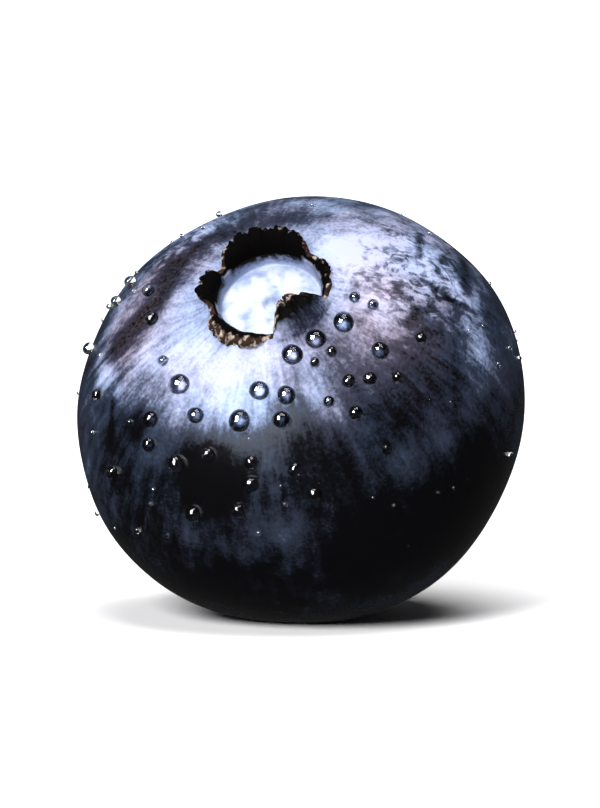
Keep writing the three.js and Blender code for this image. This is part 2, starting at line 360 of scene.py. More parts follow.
# %% Make closed shells from rings of points
def closed_shells(name, tops, rings, ends):
    """A mesh of closed shells: each has a top point, rows of rings of points, and an end point.
    Neighbouring rings are joined by four-sided faces and each pole by a fan, all pointing outwards."""
    shells, rows, columns, _ = rings.shape
    size = rows * columns + 2
    flat = np.concatenate([tops[:, None], rings.reshape(shells, -1, 3), ends[:, None]], axis=1)
    row, column = np.meshgrid(np.arange(rows - 1), np.arange(columns), indexing="ij")
    here = 1 + row * columns + column
    right = 1 + row * columns + (column + 1) % columns
    quads = np.stack([here, right, right + columns, here + columns], -1).reshape(-1, 4)
    around = np.arange(columns)
    after = (around + 1) % columns
    last = 1 + (rows - 1) * columns
    top_fan = np.stack([0 * around, 1 + after, 1 + around], -1)
    end_fan = np.stack([0 * around + size - 1, last + around, last + after], -1)
    fans = np.concatenate([top_fan, end_fan])
    shift = np.arange(shells)[:, None, None] * size
    corners = np.concatenate([(quads + shift).ravel(), (fans + shift).ravel()])
    counts = np.repeat([4, 3], [shells * len(quads), shells * 2 * columns])
    mesh = bpy.data.meshes.new(name)
    mesh.vertices.add(shells * size)
    mesh.vertices.foreach_set("co", (flat * MM).ravel())
    mesh.loops.add(corners.size)
    mesh.loops.foreach_set("vertex_index", corners.astype(np.int32))
    mesh.polygons.add(counts.size)
    mesh.polygons.foreach_set("loop_start", (np.cumsum(counts) - counts).astype(np.int32))
    mesh.polygons.foreach_set("use_smooth", np.ones(counts.size, dtype=bool))
    mesh.update(calc_edges=True)
    piece = bpy.data.objects.new(name, mesh)
    bpy.context.scene.collection.objects.link(piece)
    print(name, "has", len(mesh.vertices), "points and", int((counts - 2).sum()), "triangles")
    return piece


skin = closed_shells("berry_skin", laid_points[:1].mean(1), laid_points[None], laid_points[-1:].mean(1))
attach(skin, "root")
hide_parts("blueberry")

# %% [markdown]
# Water stands on wax in round beads. Those on the side that faces the viewer have places of their own.
# On the far side they follow a rule, a golden-angle spiral with seeded jitter, which is the rule that
# the solid uses too. A finer mist lies between them on every side. The places come before the bloom,
# because a bead wets the wax that it stands on.

# %% A place on the skin
def seat(clock, polar):
    """The point of the round skin at a clock and a polar angle (degrees), and the way out of the skin."""
    angle = polar * RAD
    height = skin_height(angle)
    point = place_round(RADIUS * np.sin(angle), height, clock)
    half = np.where(height > 0, CROWN_HALF_HEIGHT, STEM_HALF_HEIGHT)
    out = point / np.stack([0 * half + RADIUS, 0 * half + RADIUS, half], -1) ** 2
    return point, out / np.linalg.norm(out, axis=-1, keepdims=True)


print("the waist's top is at", seat(0, 90)[0].round(2))

# %% Where the beads are
# Clock angle, polar angle and diameter of the beads that face the viewer
FRONT_BEADS = np.array([
    (154, 21, 0.8), (134, 20, 0.76), (111, 22, 0.8), (143, 25, 0.35), (131, 25, 0.4), (88, 22, 0.4),
    (90, 27, 0.4), (217, 33, 0.8), (203, 38, 0.62), (220, 45, 0.6), (184, 37, 0.82), (176, 29, 0.74),
    (163, 31, 0.7), (167, 37, 0.62), (134, 34, 0.5), (126, 37, 0.5), (117, 42, 0.4), (139, 42, 0.52),
    (146, 36, 0.4), (113, 34, 0.66), (97, 42, 0.4), (216, 51, 0.5), (204, 52, 0.62), (194, 47, 0.5),
    (179, 48, 0.5), (179, 54, 0.6), (183, 62, 0.52), (196, 65, 0.6), (165, 51, 0.5), (161, 59, 0.5),
    (136, 55, 0.3), (248, 57, 0.4), (225, 66, 0.5), (234, 32, 0.4), (261, 32, 0.52), (280, 36, 0.5),
    (290, 50, 0.46), (283, 53, 0.4), (271, 64, 0.46),
])
BEAD_STAND = 0.5  # a bead's centre stands this share of its radius above the skin
SPIRAL_STEPS, SPIRAL_FROM, SPIRAL_TO, SPIRAL_JITTER = 120, 30, 150, 30
WET_SHARE, WET_EDGE, WET_RANGE = 0.8, 0.2, 0.4
SMALL_BEAD, LARGE_BEAD = 0.24, 0.82
MIST_STEPS, MIST_SHARE, SMALL_MIST, LARGE_MIST = 260, 0.4, 0.12, 0.26
DRY_BELOW, BEAD_SPACING = 4, 1.25
GOLDEN_ANGLE = 180 * (3 - np.sqrt(5))
DRAW_STEP, DRAW_SHIFT, DRAW_SIZE = 12.9898, 78.233, 43758.5453  # uneven numbers, as for the solid


def draw(i, seed):
    """A repeatable number from 0 to 1 for a whole number and a seed: the fraction of a large sine."""
    return np.sin(i * DRAW_STEP + seed * DRAW_SHIFT) * DRAW_SIZE % 1


def spiral(count, smallest, largest, seed, wetness):
    """Beads on a golden-angle spiral with jitter. wetness turns how far the skin faces away from the
    viewer into the share of places that hold a bead. Low down the skin is dry."""
    i = np.arange(count)
    first, last = np.cos(SPIRAL_FROM * RAD), np.cos(SPIRAL_TO * RAD)
    polar = np.arccos(first + (last - first) * (i + draw(i, seed + 1)) / count) / RAD
    clock = i * GOLDEN_ANGLE + SPIRAL_JITTER * draw(i, seed + 2)
    diameter = smallest + (largest - smallest) * draw(i, seed + 3) ** 2
    point, out = seat(clock, polar)
    held = draw(i, seed + 4) < wetness((out @ ATTITUDE.T)[:, 1])
    wet = held & (lie_down(point)[:, 2] > UNDERSIDE + DRY_BELOW)
    return np.stack([clock, polar, diameter], -1)[wet]


def spaced(beads, fixed):
    """The beads in their order, without any after the fixed ones that would run into an earlier one."""
    points, _ = seat(beads[:, 0], beads[:, 1])
    gaps = np.linalg.norm(points[:, None] - points, axis=-1)
    close = gaps < BEAD_SPACING * (beads[:, None, 2] + beads[:, 2]) / 2
    kept = []
    for bead in range(len(beads)):
        if bead < fixed or not close[bead, kept].any():
            kept.append(bead)
    return beads[kept]


def far_side(away):
    """None on the side that faces the viewer, then more and more up to the share that is wet."""
    return WET_SHARE * np.clip((away - WET_EDGE) / WET_RANGE, 0, 1)


def all_round(away):
    """The same share of wet places on every side."""
    return MIST_SHARE + 0 * away


far_beads = spiral(SPIRAL_STEPS, SMALL_BEAD, LARGE_BEAD, seed=0, wetness=far_side)
beads = spaced(np.concatenate([FRONT_BEADS, far_beads]), len(FRONT_BEADS))
mist = spiral(MIST_STEPS, SMALL_MIST, LARGE_MIST, seed=10, wetness=all_round)
mist = spaced(np.concatenate([beads, mist]), len(beads))[len(beads):]
print(len(beads), "beads and", len(mist), "specks of mist")

# %% [markdown]
# Bloom is a thin powder of wax that the berry grows. It is thick and pale round the crown and on the
# shoulders, thin lower down, scratched here and there, and rubbed or washed away in patches, where the
# near-black skin shows. Low down, on the side away from the lights, less bloom is also painted shade.
# Under each bead a dark ring is painted into the bloom, where the bead magnifies it to its rim: painted
# shade for the dark rim of a drop, with a little real loss of bloom, as wet wax turns clear. The bloom
# could be painted by hand. Here what belongs to a place is a short list of patches and lines, worked out
# for every point of the grid, and the material breaks up the edges with finer noise.

# %% Where the bloom is thick or rubbed away
BLOOM_LOW, BLOOM_ROUND_CROWN = 0.3, 0.5
BLOOM_FADE, FADE_POWER = 38, 2.5  # degrees from the crown, and how sudden the fade is
# Clock angle, polar angle, reach in millimetres, and how much more or less bloom is there
BLOOM_AND_SHADE_PATCHES = [
    (200, 24, 2.6, 0.25), (185, 33, 1.6, 0.2), (48, 36, 2.6, 0.35), (45, 56, 1.8, 0.2),
    (100, 28, 1.6, 0.12), (63, 47, 0.9, 0.3), (70, 56, 0.9, 0.4), (82, 61, 1.0, 0.35),
    (92, 64, 1.1, 0.15), (126, 65, 1.4, 0.25), (149, 37, 0.7, 0.25), (171, 72, 2.2, 0.18),
    (230, 30, 1.6, 0.15), (252, 38, 0.9, 0.2), (252, 52, 0.7, 0.5), (240, 57, 1.6, 0.1),
    (236, 42, 1.2, 0.05), (98, 30, 1.2, 0.06), (276, 47, 1.2, 0.25), (266, 54, 0.9, 0.25),
    (264, 25, 0.9, 0.3), (320, 50, 2.2, 0.2), (0, 95, 8.0, 0.3), (53, 23, 1.2, 0.25),
    (83, 50, 1.2, 0.1), (192, 54, 1.45, -0.9), (161, 48, 1.7, -0.35), (131, 46, 1.2, -0.15),
    (275, 31, 0.6, -0.4), (267, 35, 0.6, -0.35), (262, 40, 0.6, -0.35), (258, 46, 0.6, -0.4),
    (290, 31, 0.8, -0.25), (307, 31, 0.8, -0.35), (324, 30, 0.8, -0.4), (343, 29, 0.8, -0.35),
    # Patches with less bloom at polar angles of 82 to 99 keep the lower side, which faces away from the
    # lights, near-black: thinner bloom, and partly painted shade.
    (5, 31, 1.0, -0.2), (110, 51, 2.2, -0.2), (144, 82, 3.5, -0.35), (124, 82, 2.2, -0.35),
    (226, 50, 0.7, -0.35), (228, 62, 1.4, -0.25), (205, 88, 3.0, -0.3), (175, 98, 3.5, -0.3),
    (131, 12, 1.0, -0.45), (108, 95, 2.2, -0.25), (126, 99, 2.4, -0.2),
]
# Clock and polar angles of both ends, half width in millimetres, and how much bloom is gone
SCRATCHES = [
    (41, 53, 55, 43, 0.16, 0.5), (52, 63, 67, 56, 0.2, 0.5), (53, 54, 62, 47, 0.16, 0.4),
    (68, 41, 74, 49, 0.15, 0.35), (74, 49, 75, 58, 0.15, 0.35), (75, 33, 80, 36, 0.16, 0.4),
    (85, 39, 94, 37, 0.16, 0.4), (240, 52, 232, 59, 0.16, 0.5),
]
# The same four numbers where wax is wiped in flakes, blushes lilac, and is rubbed in streaks
WIPED_PATCHES = [(66, 40, 3.2, 1.0), (300, 40, 2.2, 0.7)]
BLUSH_PATCHES = [(98, 32, 2.4, 0.7), (264, 39, 1.8, 1.0), (300, 31, 1.6, 0.6)]
RUBBED_PATCHES = [
    (248, 54, 3.4, 1.0), (95, 54, 3.2, 0.8), (175, 46, 2.6, 0.6),
    (210, 78, 3.5, 0.6), (315, 33, 2.2, 0.8),
]
RUBBED_GAIN = 0.6  # how much stronger the streaks are where something has rubbed along the skin
PATCH_POWER = 2.6  # above 2, for an edge that falls off faster than a bell's
# Painted shade: the dark ring in the bloom under each bead, set where the bead magnifies it to its rim,
# stands in for a drop's dark rim; a little of the loss is real wet wax.
WET_AND_RIM_SHADE_LOSS = 0.9  # bloom lost in the dark ring under a bead
RIM_SHADE_RING_RADIUS, RIM_SHADE_RING_WIDTH = 0.62, 0.22  # in radii of the bead's foot, magnified by the bead to its rim
NARROWEST_RIM_SHADE_RING = 0.06  # millimetres, about as fine as the grid can show


def apart(centres):
    """The distance from every point of the grid to each centre."""
    return np.linalg.norm(skin_points[..., None, :] - centres, axis=-1)


def patches(places):
    """For every point of the grid, the sum of round patches: each gain times a bell of the distance."""
    clock, polar, reach, gain = np.array(places).T
    centres, _ = seat(clock, polar)
    return np.exp(-((apart(centres) / reach) ** PATCH_POWER)) @ gain


def scratches(lines):
    """For every point of the grid, the sum of scratches: each loss times a bell of the distance to a
    straight line between its ends."""
    ends = np.array(lines)
    first, _ = seat(ends[:, 0], ends[:, 1])
    last, _ = seat(ends[:, 2], ends[:, 3])
    line = last - first
    off = skin_points[..., None, :] - first
    share = np.clip((off * line).sum(-1) / (line**2).sum(-1), 0, 1)
    gap = np.linalg.norm(off - share[..., None] * line, axis=-1)
    return np.exp(-((gap / ends[:, 4]) ** 2)) @ ends[:, 5]


def bead_feet_and_rim_shade(beads):
    """For every point of the grid, the distance from the nearest bead's middle, in radii of its foot, and
    the share of the painted dark ring that is there, painted shade for the bead's dark rim: a bell of the
    distance to the ring."""
    centres, _ = seat(beads[:, 0], beads[:, 1])
    foot = beads[:, 2] / 2 * np.sqrt(1 - BEAD_STAND**2)
    gaps = apart(centres)
    width = np.maximum(RIM_SHADE_RING_WIDTH * foot, NARROWEST_RIM_SHADE_RING)
    rings = np.exp(-(((gaps - RIM_SHADE_RING_RADIUS * foot) / width) ** 2))
    return (gaps / foot).min(-1), rings.max(-1)


print(len(BLOOM_AND_SHADE_PATCHES), "patches of bloom and", len(SCRATCHES), "scratches")

# %% [markdown]
# A material can only use what it is given at each point. Painted pictures would be one way to give it
# the bloom. Attributes are another: named numbers stored with the points of the mesh, which need no
# unwrapping and are as fine as the grid. One of them is a direction map for streaks, which run from the
# crown to the stalk as on the real fruit.

# %% Marks that the skin's material reads
STREAK_TURN, STREAK_LENGTH = 18.0, 2.2  # streaks in a radian, and millimetres along


def mark(name, values):
    """Store a number or a vector for each point of the grid. A pole takes the mean of the ring beside."""
    kind, key = (("FLOAT", "value"), ("FLOAT_VECTOR", "vector"))[values.ndim - 2]
    flat = values.reshape(-1, *values.shape[2:])
    stored = np.concatenate([values[:1].mean(1), flat, values[-1:].mean(1)]).astype(np.float32)
    skin.data.attributes.new(name, kind, "POINT").data.foreach_set(key, stored.ravel())


def by_stretch(**shares):
    """A value for every point of the grid, from a column of values for each stretch that has any."""
    shapes = {name: radius.shape for name, (radius, _) in STRETCHES.items()}
    rows = [np.broadcast_to(shares.get(name, 0.0), shape) for name, shape in shapes.items()]
    return np.concatenate(rows).astype(float)


half_height = np.where(skin_points[..., 2] > 0, CROWN_HALF_HEIGHT, STEM_HALF_HEIGHT)
across = np.hypot(skin_points[..., 0], skin_points[..., 1])
polar_angle = np.arctan2(across / RADIUS, skin_points[..., 2] / half_height)
round_crown = np.exp(-((polar_angle / RAD / BLOOM_FADE) ** FADE_POWER))
rubbed = np.clip(patches(RUBBED_PATCHES), 0, 1)
bloom = BLOOM_LOW + BLOOM_ROUND_CROWN * round_crown + patches(BLOOM_AND_SHADE_PATCHES)
bloom -= scratches(SCRATCHES) + RUBBED_GAIN / 2 * rubbed
# Painted shade under the beads: a dark ring in the bloom, seen through each bead as its dark rim.
under, ring = bead_feet_and_rim_shade(beads)
bloom -= WET_AND_RIM_SHADE_LOSS * ring
along = polar_angle * RADIUS / STREAK_LENGTH
turns = np.broadcast_to(CLOCK * RAD, along.shape)
mark("bloom", bloom)
mark("rubbed", rubbed)
mark("wiped", np.clip(patches(WIPED_PATCHES), 0, 1))
# No brown under the beads: the bare skin seen through a bead stays near-black, painted shade for the
# bead's dark body.
mark("blush", np.clip(patches(BLUSH_PATCHES), 0, 1) * (under > 1))
mark("meridian", np.stack([STREAK_TURN * np.sin(turns), STREAK_TURN * np.cos(turns), along], -1))
print("bloom runs from", bloom.min().round(2), "to", bloom.max().round(2))

# %% [markdown]
# On the crown the marks say where skin has turned to husk, where the husk is brown and where the cup's
# pale floor ends. The dark of the inner faces and of the lining below them is husk, and partly painted
# shade where they face away from the lights; the floor turns to painted shade towards its wall. They
# could be painted too, but each follows from the row and the lobe, so each lobe has a number or two,
# and the notches between lobes have their own.

# %% Marks on the crown
# One value for each lobe: shares of the outer and inner face that are dark, and how far the brown reaches
LOBE_DARK = np.array([0.5, 0.5, 1.1, 0.6, 0.8])
# The inner faces are dark husk, and at the back lobe and the lobe that folds in, which face away from the
# lights, partly painted shade.
LOBE_INNER_HUSK_AND_SHADE = np.array([1.0, 0.4, 1.0, 0.5, 0.8])
LOBE_BROWN = np.array([0.65, 0.8, 1.15, 1.5, 0.7])
NOTCH_DARK, NOTCH_INNER, NOTCH_BROWN = 0.2, 0.3, 1.1
PALE_AT_FOOT, PALE_REACH = 0.1, 0.2  # the floor's pale at the wall's foot, and how far up it goes
HUSK_RISE, TAN_EDGE, TAN_STEEPNESS = 1.4, 1.1, 5  # how soon husk, and tan in the scar, take over
lobes = arches(CLOCK)
dark = NOTCH_DARK + lobes @ (LOBE_DARK - NOTCH_DARK)
inner = NOTCH_INNER + lobes @ (LOBE_INNER_HUSK_AND_SHADE - NOTCH_INNER)
brown = NOTCH_BROWN + lobes @ (LOBE_BROWN - NOTCH_BROWN)
# The floor mark falls up the lining, and where it is low the floor's colour turns to painted shade.
mark("floor", by_stretch(
    floor=1,
    lining=1 - (1 - PALE_AT_FOOT) * LINING_SHARE,
    wall_up=np.clip(PALE_AT_FOOT * (1 - WALL_UP / PALE_REACH), 0, 1),
))
# On the lining the dark follows the inner faces: husk, and at the back partly painted shade in the cup's
# recess.
mark("husk", by_stretch(
    lining=inner,
    wall_up=inner + (1 - inner) * np.clip(HUSK_RISE * WALL_UP, 0, 1) ** 2,
    wall_over=1,
    wall_down=np.clip(1 - (1 - WALL_DOWN) / dark, 0, 1),
))
mark("edge", by_stretch(wall_up=WALL_UP**2 * brown, wall_over=brown, wall_down=WALL_DOWN**2 * brown))
mark("scar", by_stretch(scar=np.clip((TAN_EDGE - SCAR_SHARE) * TAN_STEEPNESS, 0, 1)))
print("the skin has", len(skin.data.attributes), "attributes")

# %% [markdown]
# Materials are node trees. One function turns the colours from the hex values that people pick into the
# linear numbers that light is computed in, and one adds a node with its settings and links, so each
# tree reads as a list of steps.

# %% Helpers for materials
BLEND = {"out": 2, "data_type": "RGBA"}  # makes a mix node blend two colours, its inputs 6 and 7


def colour(code):
    """Linear red, green, blue and alpha from an sRGB hex code."""
    srgb = np.array([int(code[i : i + 2], 16) for i in (1, 3, 5)]) / 255
    linear = np.where(srgb <= 0.04045, srgb / 12.92, ((srgb + 0.055) / 1.055) ** 2.4)
    return (*linear.tolist(), 1.0)


def add(tree, kind, inputs=None, out=0, **settings):
    """Add a node with its settings, link or set its inputs, and return the output that is asked for."""
    made = tree.nodes.new(kind)
    for name, value in settings.items():
        setattr(made, name, value)
    for key, value in (inputs or {}).items():
        if isinstance(value, bpy.types.NodeSocket):
            tree.links.new(value, made.inputs[key])
        else:
            made.inputs[key].default_value = value
    return made.outputs[out] if made.outputs else made


def new_material(name):
    """A new material and its empty node tree."""
    material = bpy.data.materials.new(name)
    material.use_nodes = True
    material.node_tree.nodes.clear()
    return material, material.node_tree


print("half-bright grey is", round(colour("#808080")[0], 3), "in linear light")

# %% [markdown]
# The skin itself is smooth and almost black. The bloom over it is a matt, bluish white dust, and what
# the eye reads as blue is a thin layer of the dust over the dark. So the material works out one number,
# how much bloom is here: the marks say roughly, clouds and streaks along the meridians break that up,
# wiped marks have sharper edges, and grains of dust show up close.

# %% How much bloom is here
CLOUD_SIZE, CLOUD_GAIN = 1.8, 1.0  # millimetres, and weight
STREAK_GAIN = 0.45
GRAIN_SIZE, GRAIN_GAIN = 0.13, 0.5  # real grains are finer, drawn as coarse as they need to show
WIPE_SIZE, WIPE_GAIN = 0.6, 0.24
FLAKE_SIZE, CRACK_WIDTH, CRACK_GAIN = 2.4, 0.08, 0.5  # the width is a share of a flake


def bloom_cover(tree, place):
    """The amount of bloom: the mark plus weighted noises, each counted from its middle value of a half,
    less fine cracks between flakes where the wax is wiped. The grain is handed on as well."""
    bloom, rubbed, wiped = (
        add(tree, "ShaderNodeAttribute", out="Fac", attribute_name=name)
        for name in ("bloom", "rubbed", "wiped")
    )
    meridian = add(tree, "ShaderNodeAttribute", out="Vector", attribute_name="meridian")
    middle = (CLOUD_GAIN + STREAK_GAIN + GRAIN_GAIN) / 2
    cover = add(tree, "ShaderNodeMath", {0: bloom, 1: middle}, operation="SUBTRACT")
    looks = {"Detail": 4.0, "Roughness": 0.6}
    cloud = add(tree, "ShaderNodeTexNoise", {"Vector": place, "Scale": 1 / CLOUD_SIZE, **looks})
    streak = add(tree, "ShaderNodeTexNoise", {"Vector": meridian, "Scale": 1.0, **looks})
    grain = add(tree, "ShaderNodeTexNoise", {"Vector": place, "Scale": 1 / GRAIN_SIZE, **looks})
    inputs = {0: rubbed, 1: RUBBED_GAIN, 2: STREAK_GAIN}
    strong = add(tree, "ShaderNodeMath", inputs, operation="MULTIPLY_ADD")
    for noise, gain in ((cloud, CLOUD_GAIN), (streak, strong), (grain, GRAIN_GAIN)):
        cover = add(tree, "ShaderNodeMath", {0: noise, 1: gain, 2: cover}, operation="MULTIPLY_ADD")
    looks["Distortion"] = 1.2
    wipe = add(tree, "ShaderNodeTexNoise", {"Vector": place, "Scale": 1 / WIPE_SIZE, **looks})
    reach = {"From Min": 0.4, "From Max": 0.56, "To Min": -WIPE_GAIN, "To Max": WIPE_GAIN / 2}
    sharp = add(tree, "ShaderNodeMapRange", {"Value": wipe, **reach}, interpolation_type="SMOOTHSTEP")
    cover = add(tree, "ShaderNodeMath", {0: sharp, 1: wiped, 2: cover}, operation="MULTIPLY_ADD")
    swirl = add(tree, "ShaderNodeVectorMath", {0: cloud, 1: place}, operation="ADD")
    cell = {"Vector": swirl, "Scale": 1 / FLAKE_SIZE}
    crack = add(tree, "ShaderNodeTexVoronoi", cell, feature="DISTANCE_TO_EDGE")
    reach = {"From Min": 0.0, "From Max": CRACK_WIDTH, "To Min": -CRACK_GAIN, "To Max": 0.0}
    crack = add(tree, "ShaderNodeMapRange", {"Value": crack, **reach})
    shown = add(tree, "ShaderNodeMapRange", {"Value": streak, "From Min": 0.42, "From Max": 0.62})
    crack = add(tree, "ShaderNodeMath", {0: crack, 1: shown}, operation="MULTIPLY")
    cover = add(tree, "ShaderNodeMath", {0: crack, 1: wiped, 2: cover}, operation="MULTIPLY_ADD")
    return cover, grain


print("clouds of bloom are", CLOUD_SIZE, "mm across and its grains", GRAIN_SIZE, "mm")

# %% [markdown]
# Four layers of colour then follow from that one number, from bare skin through thin and thick dust to
# the dense white round the crown. A colour ramp could do it in one node, but separate layers let the
# thin dust turn lilac in places, as it does where the skin below is redder, and let the bare skin there
# turn brown.

# %% Colour of the skin with its bloom
BARE_SKIN, BROWN_SKIN = colour("#050507"), colour("#2b2525")
THIN_BLUE, THIN_VIOLET = colour("#2a3549"), colour("#332f42")
THICK_BLUE, THICK_LILAC, DENSE_WHITE = colour("#98a8ce"), colour("#b2a8bd"), colour("#a2a6ae")
HUE_SIZE, HUE_GAIN = 2.6, 0.4  # millimetres, and how lilac the bloom goes by itself
THIN_RANGE, THICK_RANGE, DENSE_RANGE = (-0.05, 0.8), (0.45, 1.2), (0.9, 1.4)  # amounts of bloom


def bloomy_skin(tree, place, cover, grain):
    """Dark skin, then a thin blue layer, a thick pale one and a dense white one. A slow noise, and the
    mark for blush, turn the thin and the thick layer from blue to lilac. By the mark, specks of the bare
    skin turn brown, at the grain's bright points. The thin layer's share is handed on as well."""
    blush = add(tree, "ShaderNodeAttribute", out="Fac", attribute_name="blush")
    hue = add(tree, "ShaderNodeTexNoise", {"Vector": place, "Scale": 1 / HUE_SIZE, "Detail": 3.0})
    inputs = {"Value": hue, "From Min": 0.45, "From Max": 0.62, "To Max": HUE_GAIN}
    tinge = add(tree, "ShaderNodeMapRange", inputs)
    lilac = add(tree, "ShaderNodeMath", {0: blush, 1: tinge}, operation="ADD", use_clamp=True)
    inputs = {"Value": grain, "From Min": 0.4, "From Max": 0.6, "To Max": blush}
    speckle = add(tree, "ShaderNodeMapRange", inputs)
    painted = add(tree, "ShaderNodeMix", {0: speckle, 6: BARE_SKIN, 7: BROWN_SKIN}, **BLEND)
    veil = add(tree, "ShaderNodeMix", {0: lilac, 6: THIN_BLUE, 7: THIN_VIOLET}, **BLEND)
    pale = add(tree, "ShaderNodeMix", {0: lilac, 6: THICK_BLUE, 7: THICK_LILAC}, **BLEND)
    shares = []
    for layer, (least, most) in ((veil, THIN_RANGE), (pale, THICK_RANGE), (DENSE_WHITE, DENSE_RANGE)):
        inputs = {"Value": cover, "From Min": least, "From Max": most}
        share = add(tree, "ShaderNodeMapRange", inputs, interpolation_type="SMOOTHSTEP")
        painted = add(tree, "ShaderNodeMix", {0: share, 6: painted, 7: layer}, **BLEND)
        shares.append(share)
    return painted, shares[0]


print("bare skin reflects", round(BARE_SKIN[1], 4), "of green light, thick bloom", round(THICK_BLUE[1], 2))

# %% [markdown]
# The lobes held the flower's petals once and are now dry husk: black where they are thick, brown and
# crumbly along the torn edges, with bloom left near their feet. The cup's floor is the palest place on
# the fruit. The stalk's scar is dry too, and an even tan. Separate materials would meet in hard lines,
# so the colours are laid over the skin's inside the same tree, and noise breaks up each edge.

# %% Colour of the crown and the scar
CRUMB_SIZE = 0.25
HUSK_DARK, HUSK_BROWN, HUSK_PALE = colour("#050404"), colour("#2a1f1b"), colour("#a39488")
# The floor's blue-grey is painted shade: it takes over in soft clouds and up the lining, where the cup is
# in shadow.
FLOOR_PALE, FLOOR_PAINTED_SHADE, FLOOR_CLOUD = colour("#adb6c6"), colour("#7d8aab"), 0.7
SCAR_TAN = colour("#5b4a3c")
# How much the crumbs' noise counts at each edge, and the sums at which the colour starts and is full
BROWN_EDGE, HUSK_EDGE, FLOOR_EDGE = (0.9, 1.2, 1.45), (0.5, 0.4, 0.85), (0.8, 0.6, 1.0)


def lay_over(tree, below, above, here, crumb, edge):
    """One colour over another, where a mark plus a share of the crumbs' noise passes the edge's sums."""
    weight, least, most = edge
    share = add(tree, "ShaderNodeMath", {0: crumb, 1: weight, 2: here}, operation="MULTIPLY_ADD")
    share = add(tree, "ShaderNodeMapRange", {"Value": share, "From Min": least, "From Max": most})
    return add(tree, "ShaderNodeMix", {0: share, 6: below, 7: above}, **BLEND)


def dress_crown(tree, place, skin_colour):
    """Husk over the skin by its mark, brown by nearness to the edge, the floor's own pale over both,
    turning to painted shade in soft clouds and up the lining towards the wall, all with edges broken by
    the crumbs' noise. The scar comes last, from brown to tan by the same noise."""
    husk, edge, floor, scar = (
        add(tree, "ShaderNodeAttribute", out="Fac", attribute_name=name)
        for name in ("husk", "edge", "floor", "scar")
    )
    crumb = add(tree, "ShaderNodeTexNoise", {"Vector": place, "Scale": 1 / CRUMB_SIZE, "Detail": 3.0})
    lit = add(tree, "ShaderNodeMapRange", {"Value": crumb, "From Min": 0.52, "From Max": 0.68})
    brown = add(tree, "ShaderNodeMix", {0: lit, 6: HUSK_BROWN, 7: HUSK_PALE}, **BLEND)
    dry = lay_over(tree, HUSK_DARK, brown, edge, crumb, BROWN_EDGE)
    dressed = lay_over(tree, skin_colour, dry, husk, crumb, HUSK_EDGE)
    cloud = add(tree, "ShaderNodeTexNoise", {"Vector": place, "Scale": 1 / FLOOR_CLOUD, "Detail": 3.0})
    light = add(tree, "ShaderNodeMath", {0: cloud, 1: floor}, operation="MULTIPLY")
    pale_over_painted_shade = add(tree, "ShaderNodeMapRange", {"Value": light, "From Min": 0.35, "From Max": 0.55})
    pale = add(tree, "ShaderNodeMix", {0: pale_over_painted_shade, 6: FLOOR_PAINTED_SHADE, 7: FLOOR_PALE}, **BLEND)
    dressed = lay_over(tree, dressed, pale, floor, crumb, FLOOR_EDGE)
    soft = add(tree, "ShaderNodeMapRange", {"Value": crumb, "From Min": 0.3, "From Max": 0.7})
    torn = add(tree, "ShaderNodeMix", {0: soft, 6: HUSK_BROWN, 7: SCAR_TAN}, **BLEND)
    return add(tree, "ShaderNodeMix", {0: scar, 6: dressed, 7: torn}, **BLEND)


print("crumbs of husk are", CRUMB_SIZE, "mm across")

# %% [markdown]
# Put together: bare skin has a soft gloss and bloom is dull, so the roughness follows the bloom, and
# fine pores and grains stand up a few hundredths of a millimetre. Wax dust keeps much of the skin from
# shining, so its gloss is set lower than a clean surface would have. Dry husk hardly shines at all, and
# skin under a bead doesn't, because water and wax bend light almost alike. Gloss has to be one number
# for a material, so there are three materials, with the same colours, and no seam shows between them.

# %% Skin, husk and skin under water
BARE_ROUGHNESS, BLOOM_ROUGHNESS, HUSK_ROUGHNESS = 0.2, 0.65, 0.9
GLOSS = {
    "blueberry_skin_under_wax_bloom": 0.25,
    "dry_flower_husk": 0.02,
    "blueberry_skin_under_water": 0.0,
}
BLOOMY, HUSK, WET = range(len(GLOSS))  # the materials' places on the skin
PORE_SIZE, PORE_HEIGHT, GRAIN_RISE = 0.35, 0.03, 0.3  # the grains' rise is a share of the pores'
WAX_IOR = 1.42


def skin_material(name, gloss):
    """Blueberry skin: a dark soft gloss under dull waxy bloom, with husk on the lobes and in the scar."""
    material, tree = new_material(name)
    metres = add(tree, "ShaderNodeTexCoord", out="Object")
    place = add(tree, "ShaderNodeVectorMath", {0: metres, "Scale": 1 / MM}, operation="SCALE")
    cover, grain = bloom_cover(tree, place)
    skin_colour, thin = bloomy_skin(tree, place, cover, grain)
    inputs = {"Value": thin, "To Min": BARE_ROUGHNESS, "To Max": BLOOM_ROUGHNESS}
    dull = add(tree, "ShaderNodeMapRange", inputs)
    husk = add(tree, "ShaderNodeAttribute", out="Fac", attribute_name="husk")
    dry = add(tree, "ShaderNodeMath", {0: husk, 1: HUSK_ROUGHNESS}, operation="MULTIPLY")
    pores = add(tree, "ShaderNodeTexNoise", {"Vector": place, "Scale": 1 / PORE_SIZE, "Detail": 4.0})
    inputs = {0: grain, 1: GRAIN_RISE, 2: pores}
    relief = add(tree, "ShaderNodeMath", inputs, operation="MULTIPLY_ADD")
    bump = {"Distance": PORE_HEIGHT * MM, "Strength": 0.3, "Height": relief}
    shader = add(tree, "ShaderNodeBsdfPrincipled", {
        "Base Color": dress_crown(tree, place, skin_colour),
        "Roughness": add(tree, "ShaderNodeMath", {0: dull, 1: dry}, operation="MAXIMUM"),
        "Normal": add(tree, "ShaderNodeBump", bump),
        "IOR": WAX_IOR,
        "Specular IOR Level": gloss,
    })
    add(tree, "ShaderNodeOutputMaterial", {"Surface": shader})
    return material


